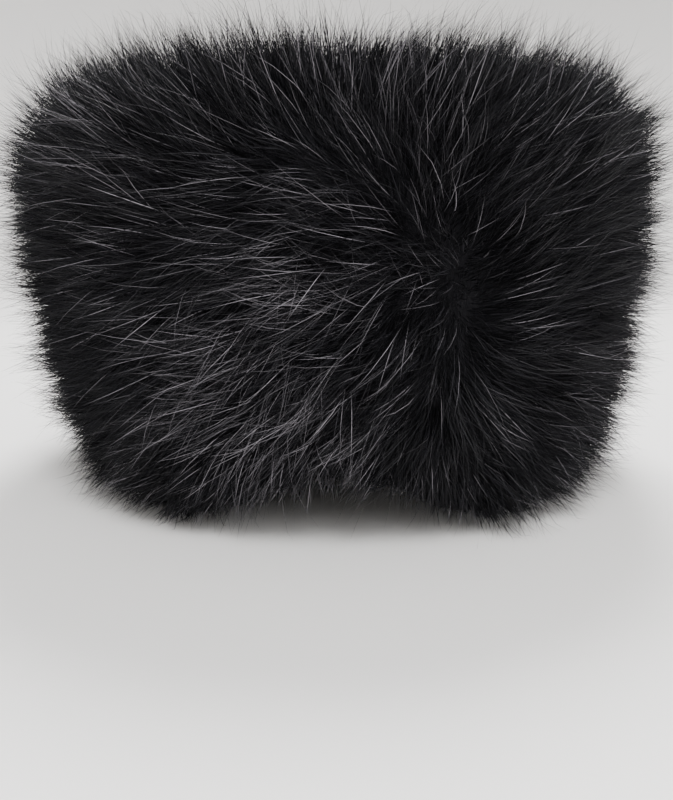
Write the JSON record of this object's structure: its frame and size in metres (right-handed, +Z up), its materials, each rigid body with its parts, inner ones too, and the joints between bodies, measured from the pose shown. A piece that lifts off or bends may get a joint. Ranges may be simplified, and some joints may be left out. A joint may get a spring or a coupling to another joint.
{
  "type": "fur hat",
  "caption": "Tall flared hat of long black fur on a hide cap, open underneath for a head, with a lower edge that rises over the forehead.",
  "frame": {"origin": "on the surface that the hat rests on, under the middle of the hat", "axes": "+Z up to the crown, the forehead side faces -Y, +X is the wearer's left"},
  "size_m": [0.312, 0.326, 0.193],
  "materials": {
    "hide": "undyed inner face of a dyed pelt, matt suede",
    "fur": "long straight glossy black fur with paler tips"
  },
  "bodies": {
    "root": {"side_hide": "hide", "crown_hide": "hide", "side_fur": "fur", "crown_fur": "fur"}
  },
  "joints": []
}
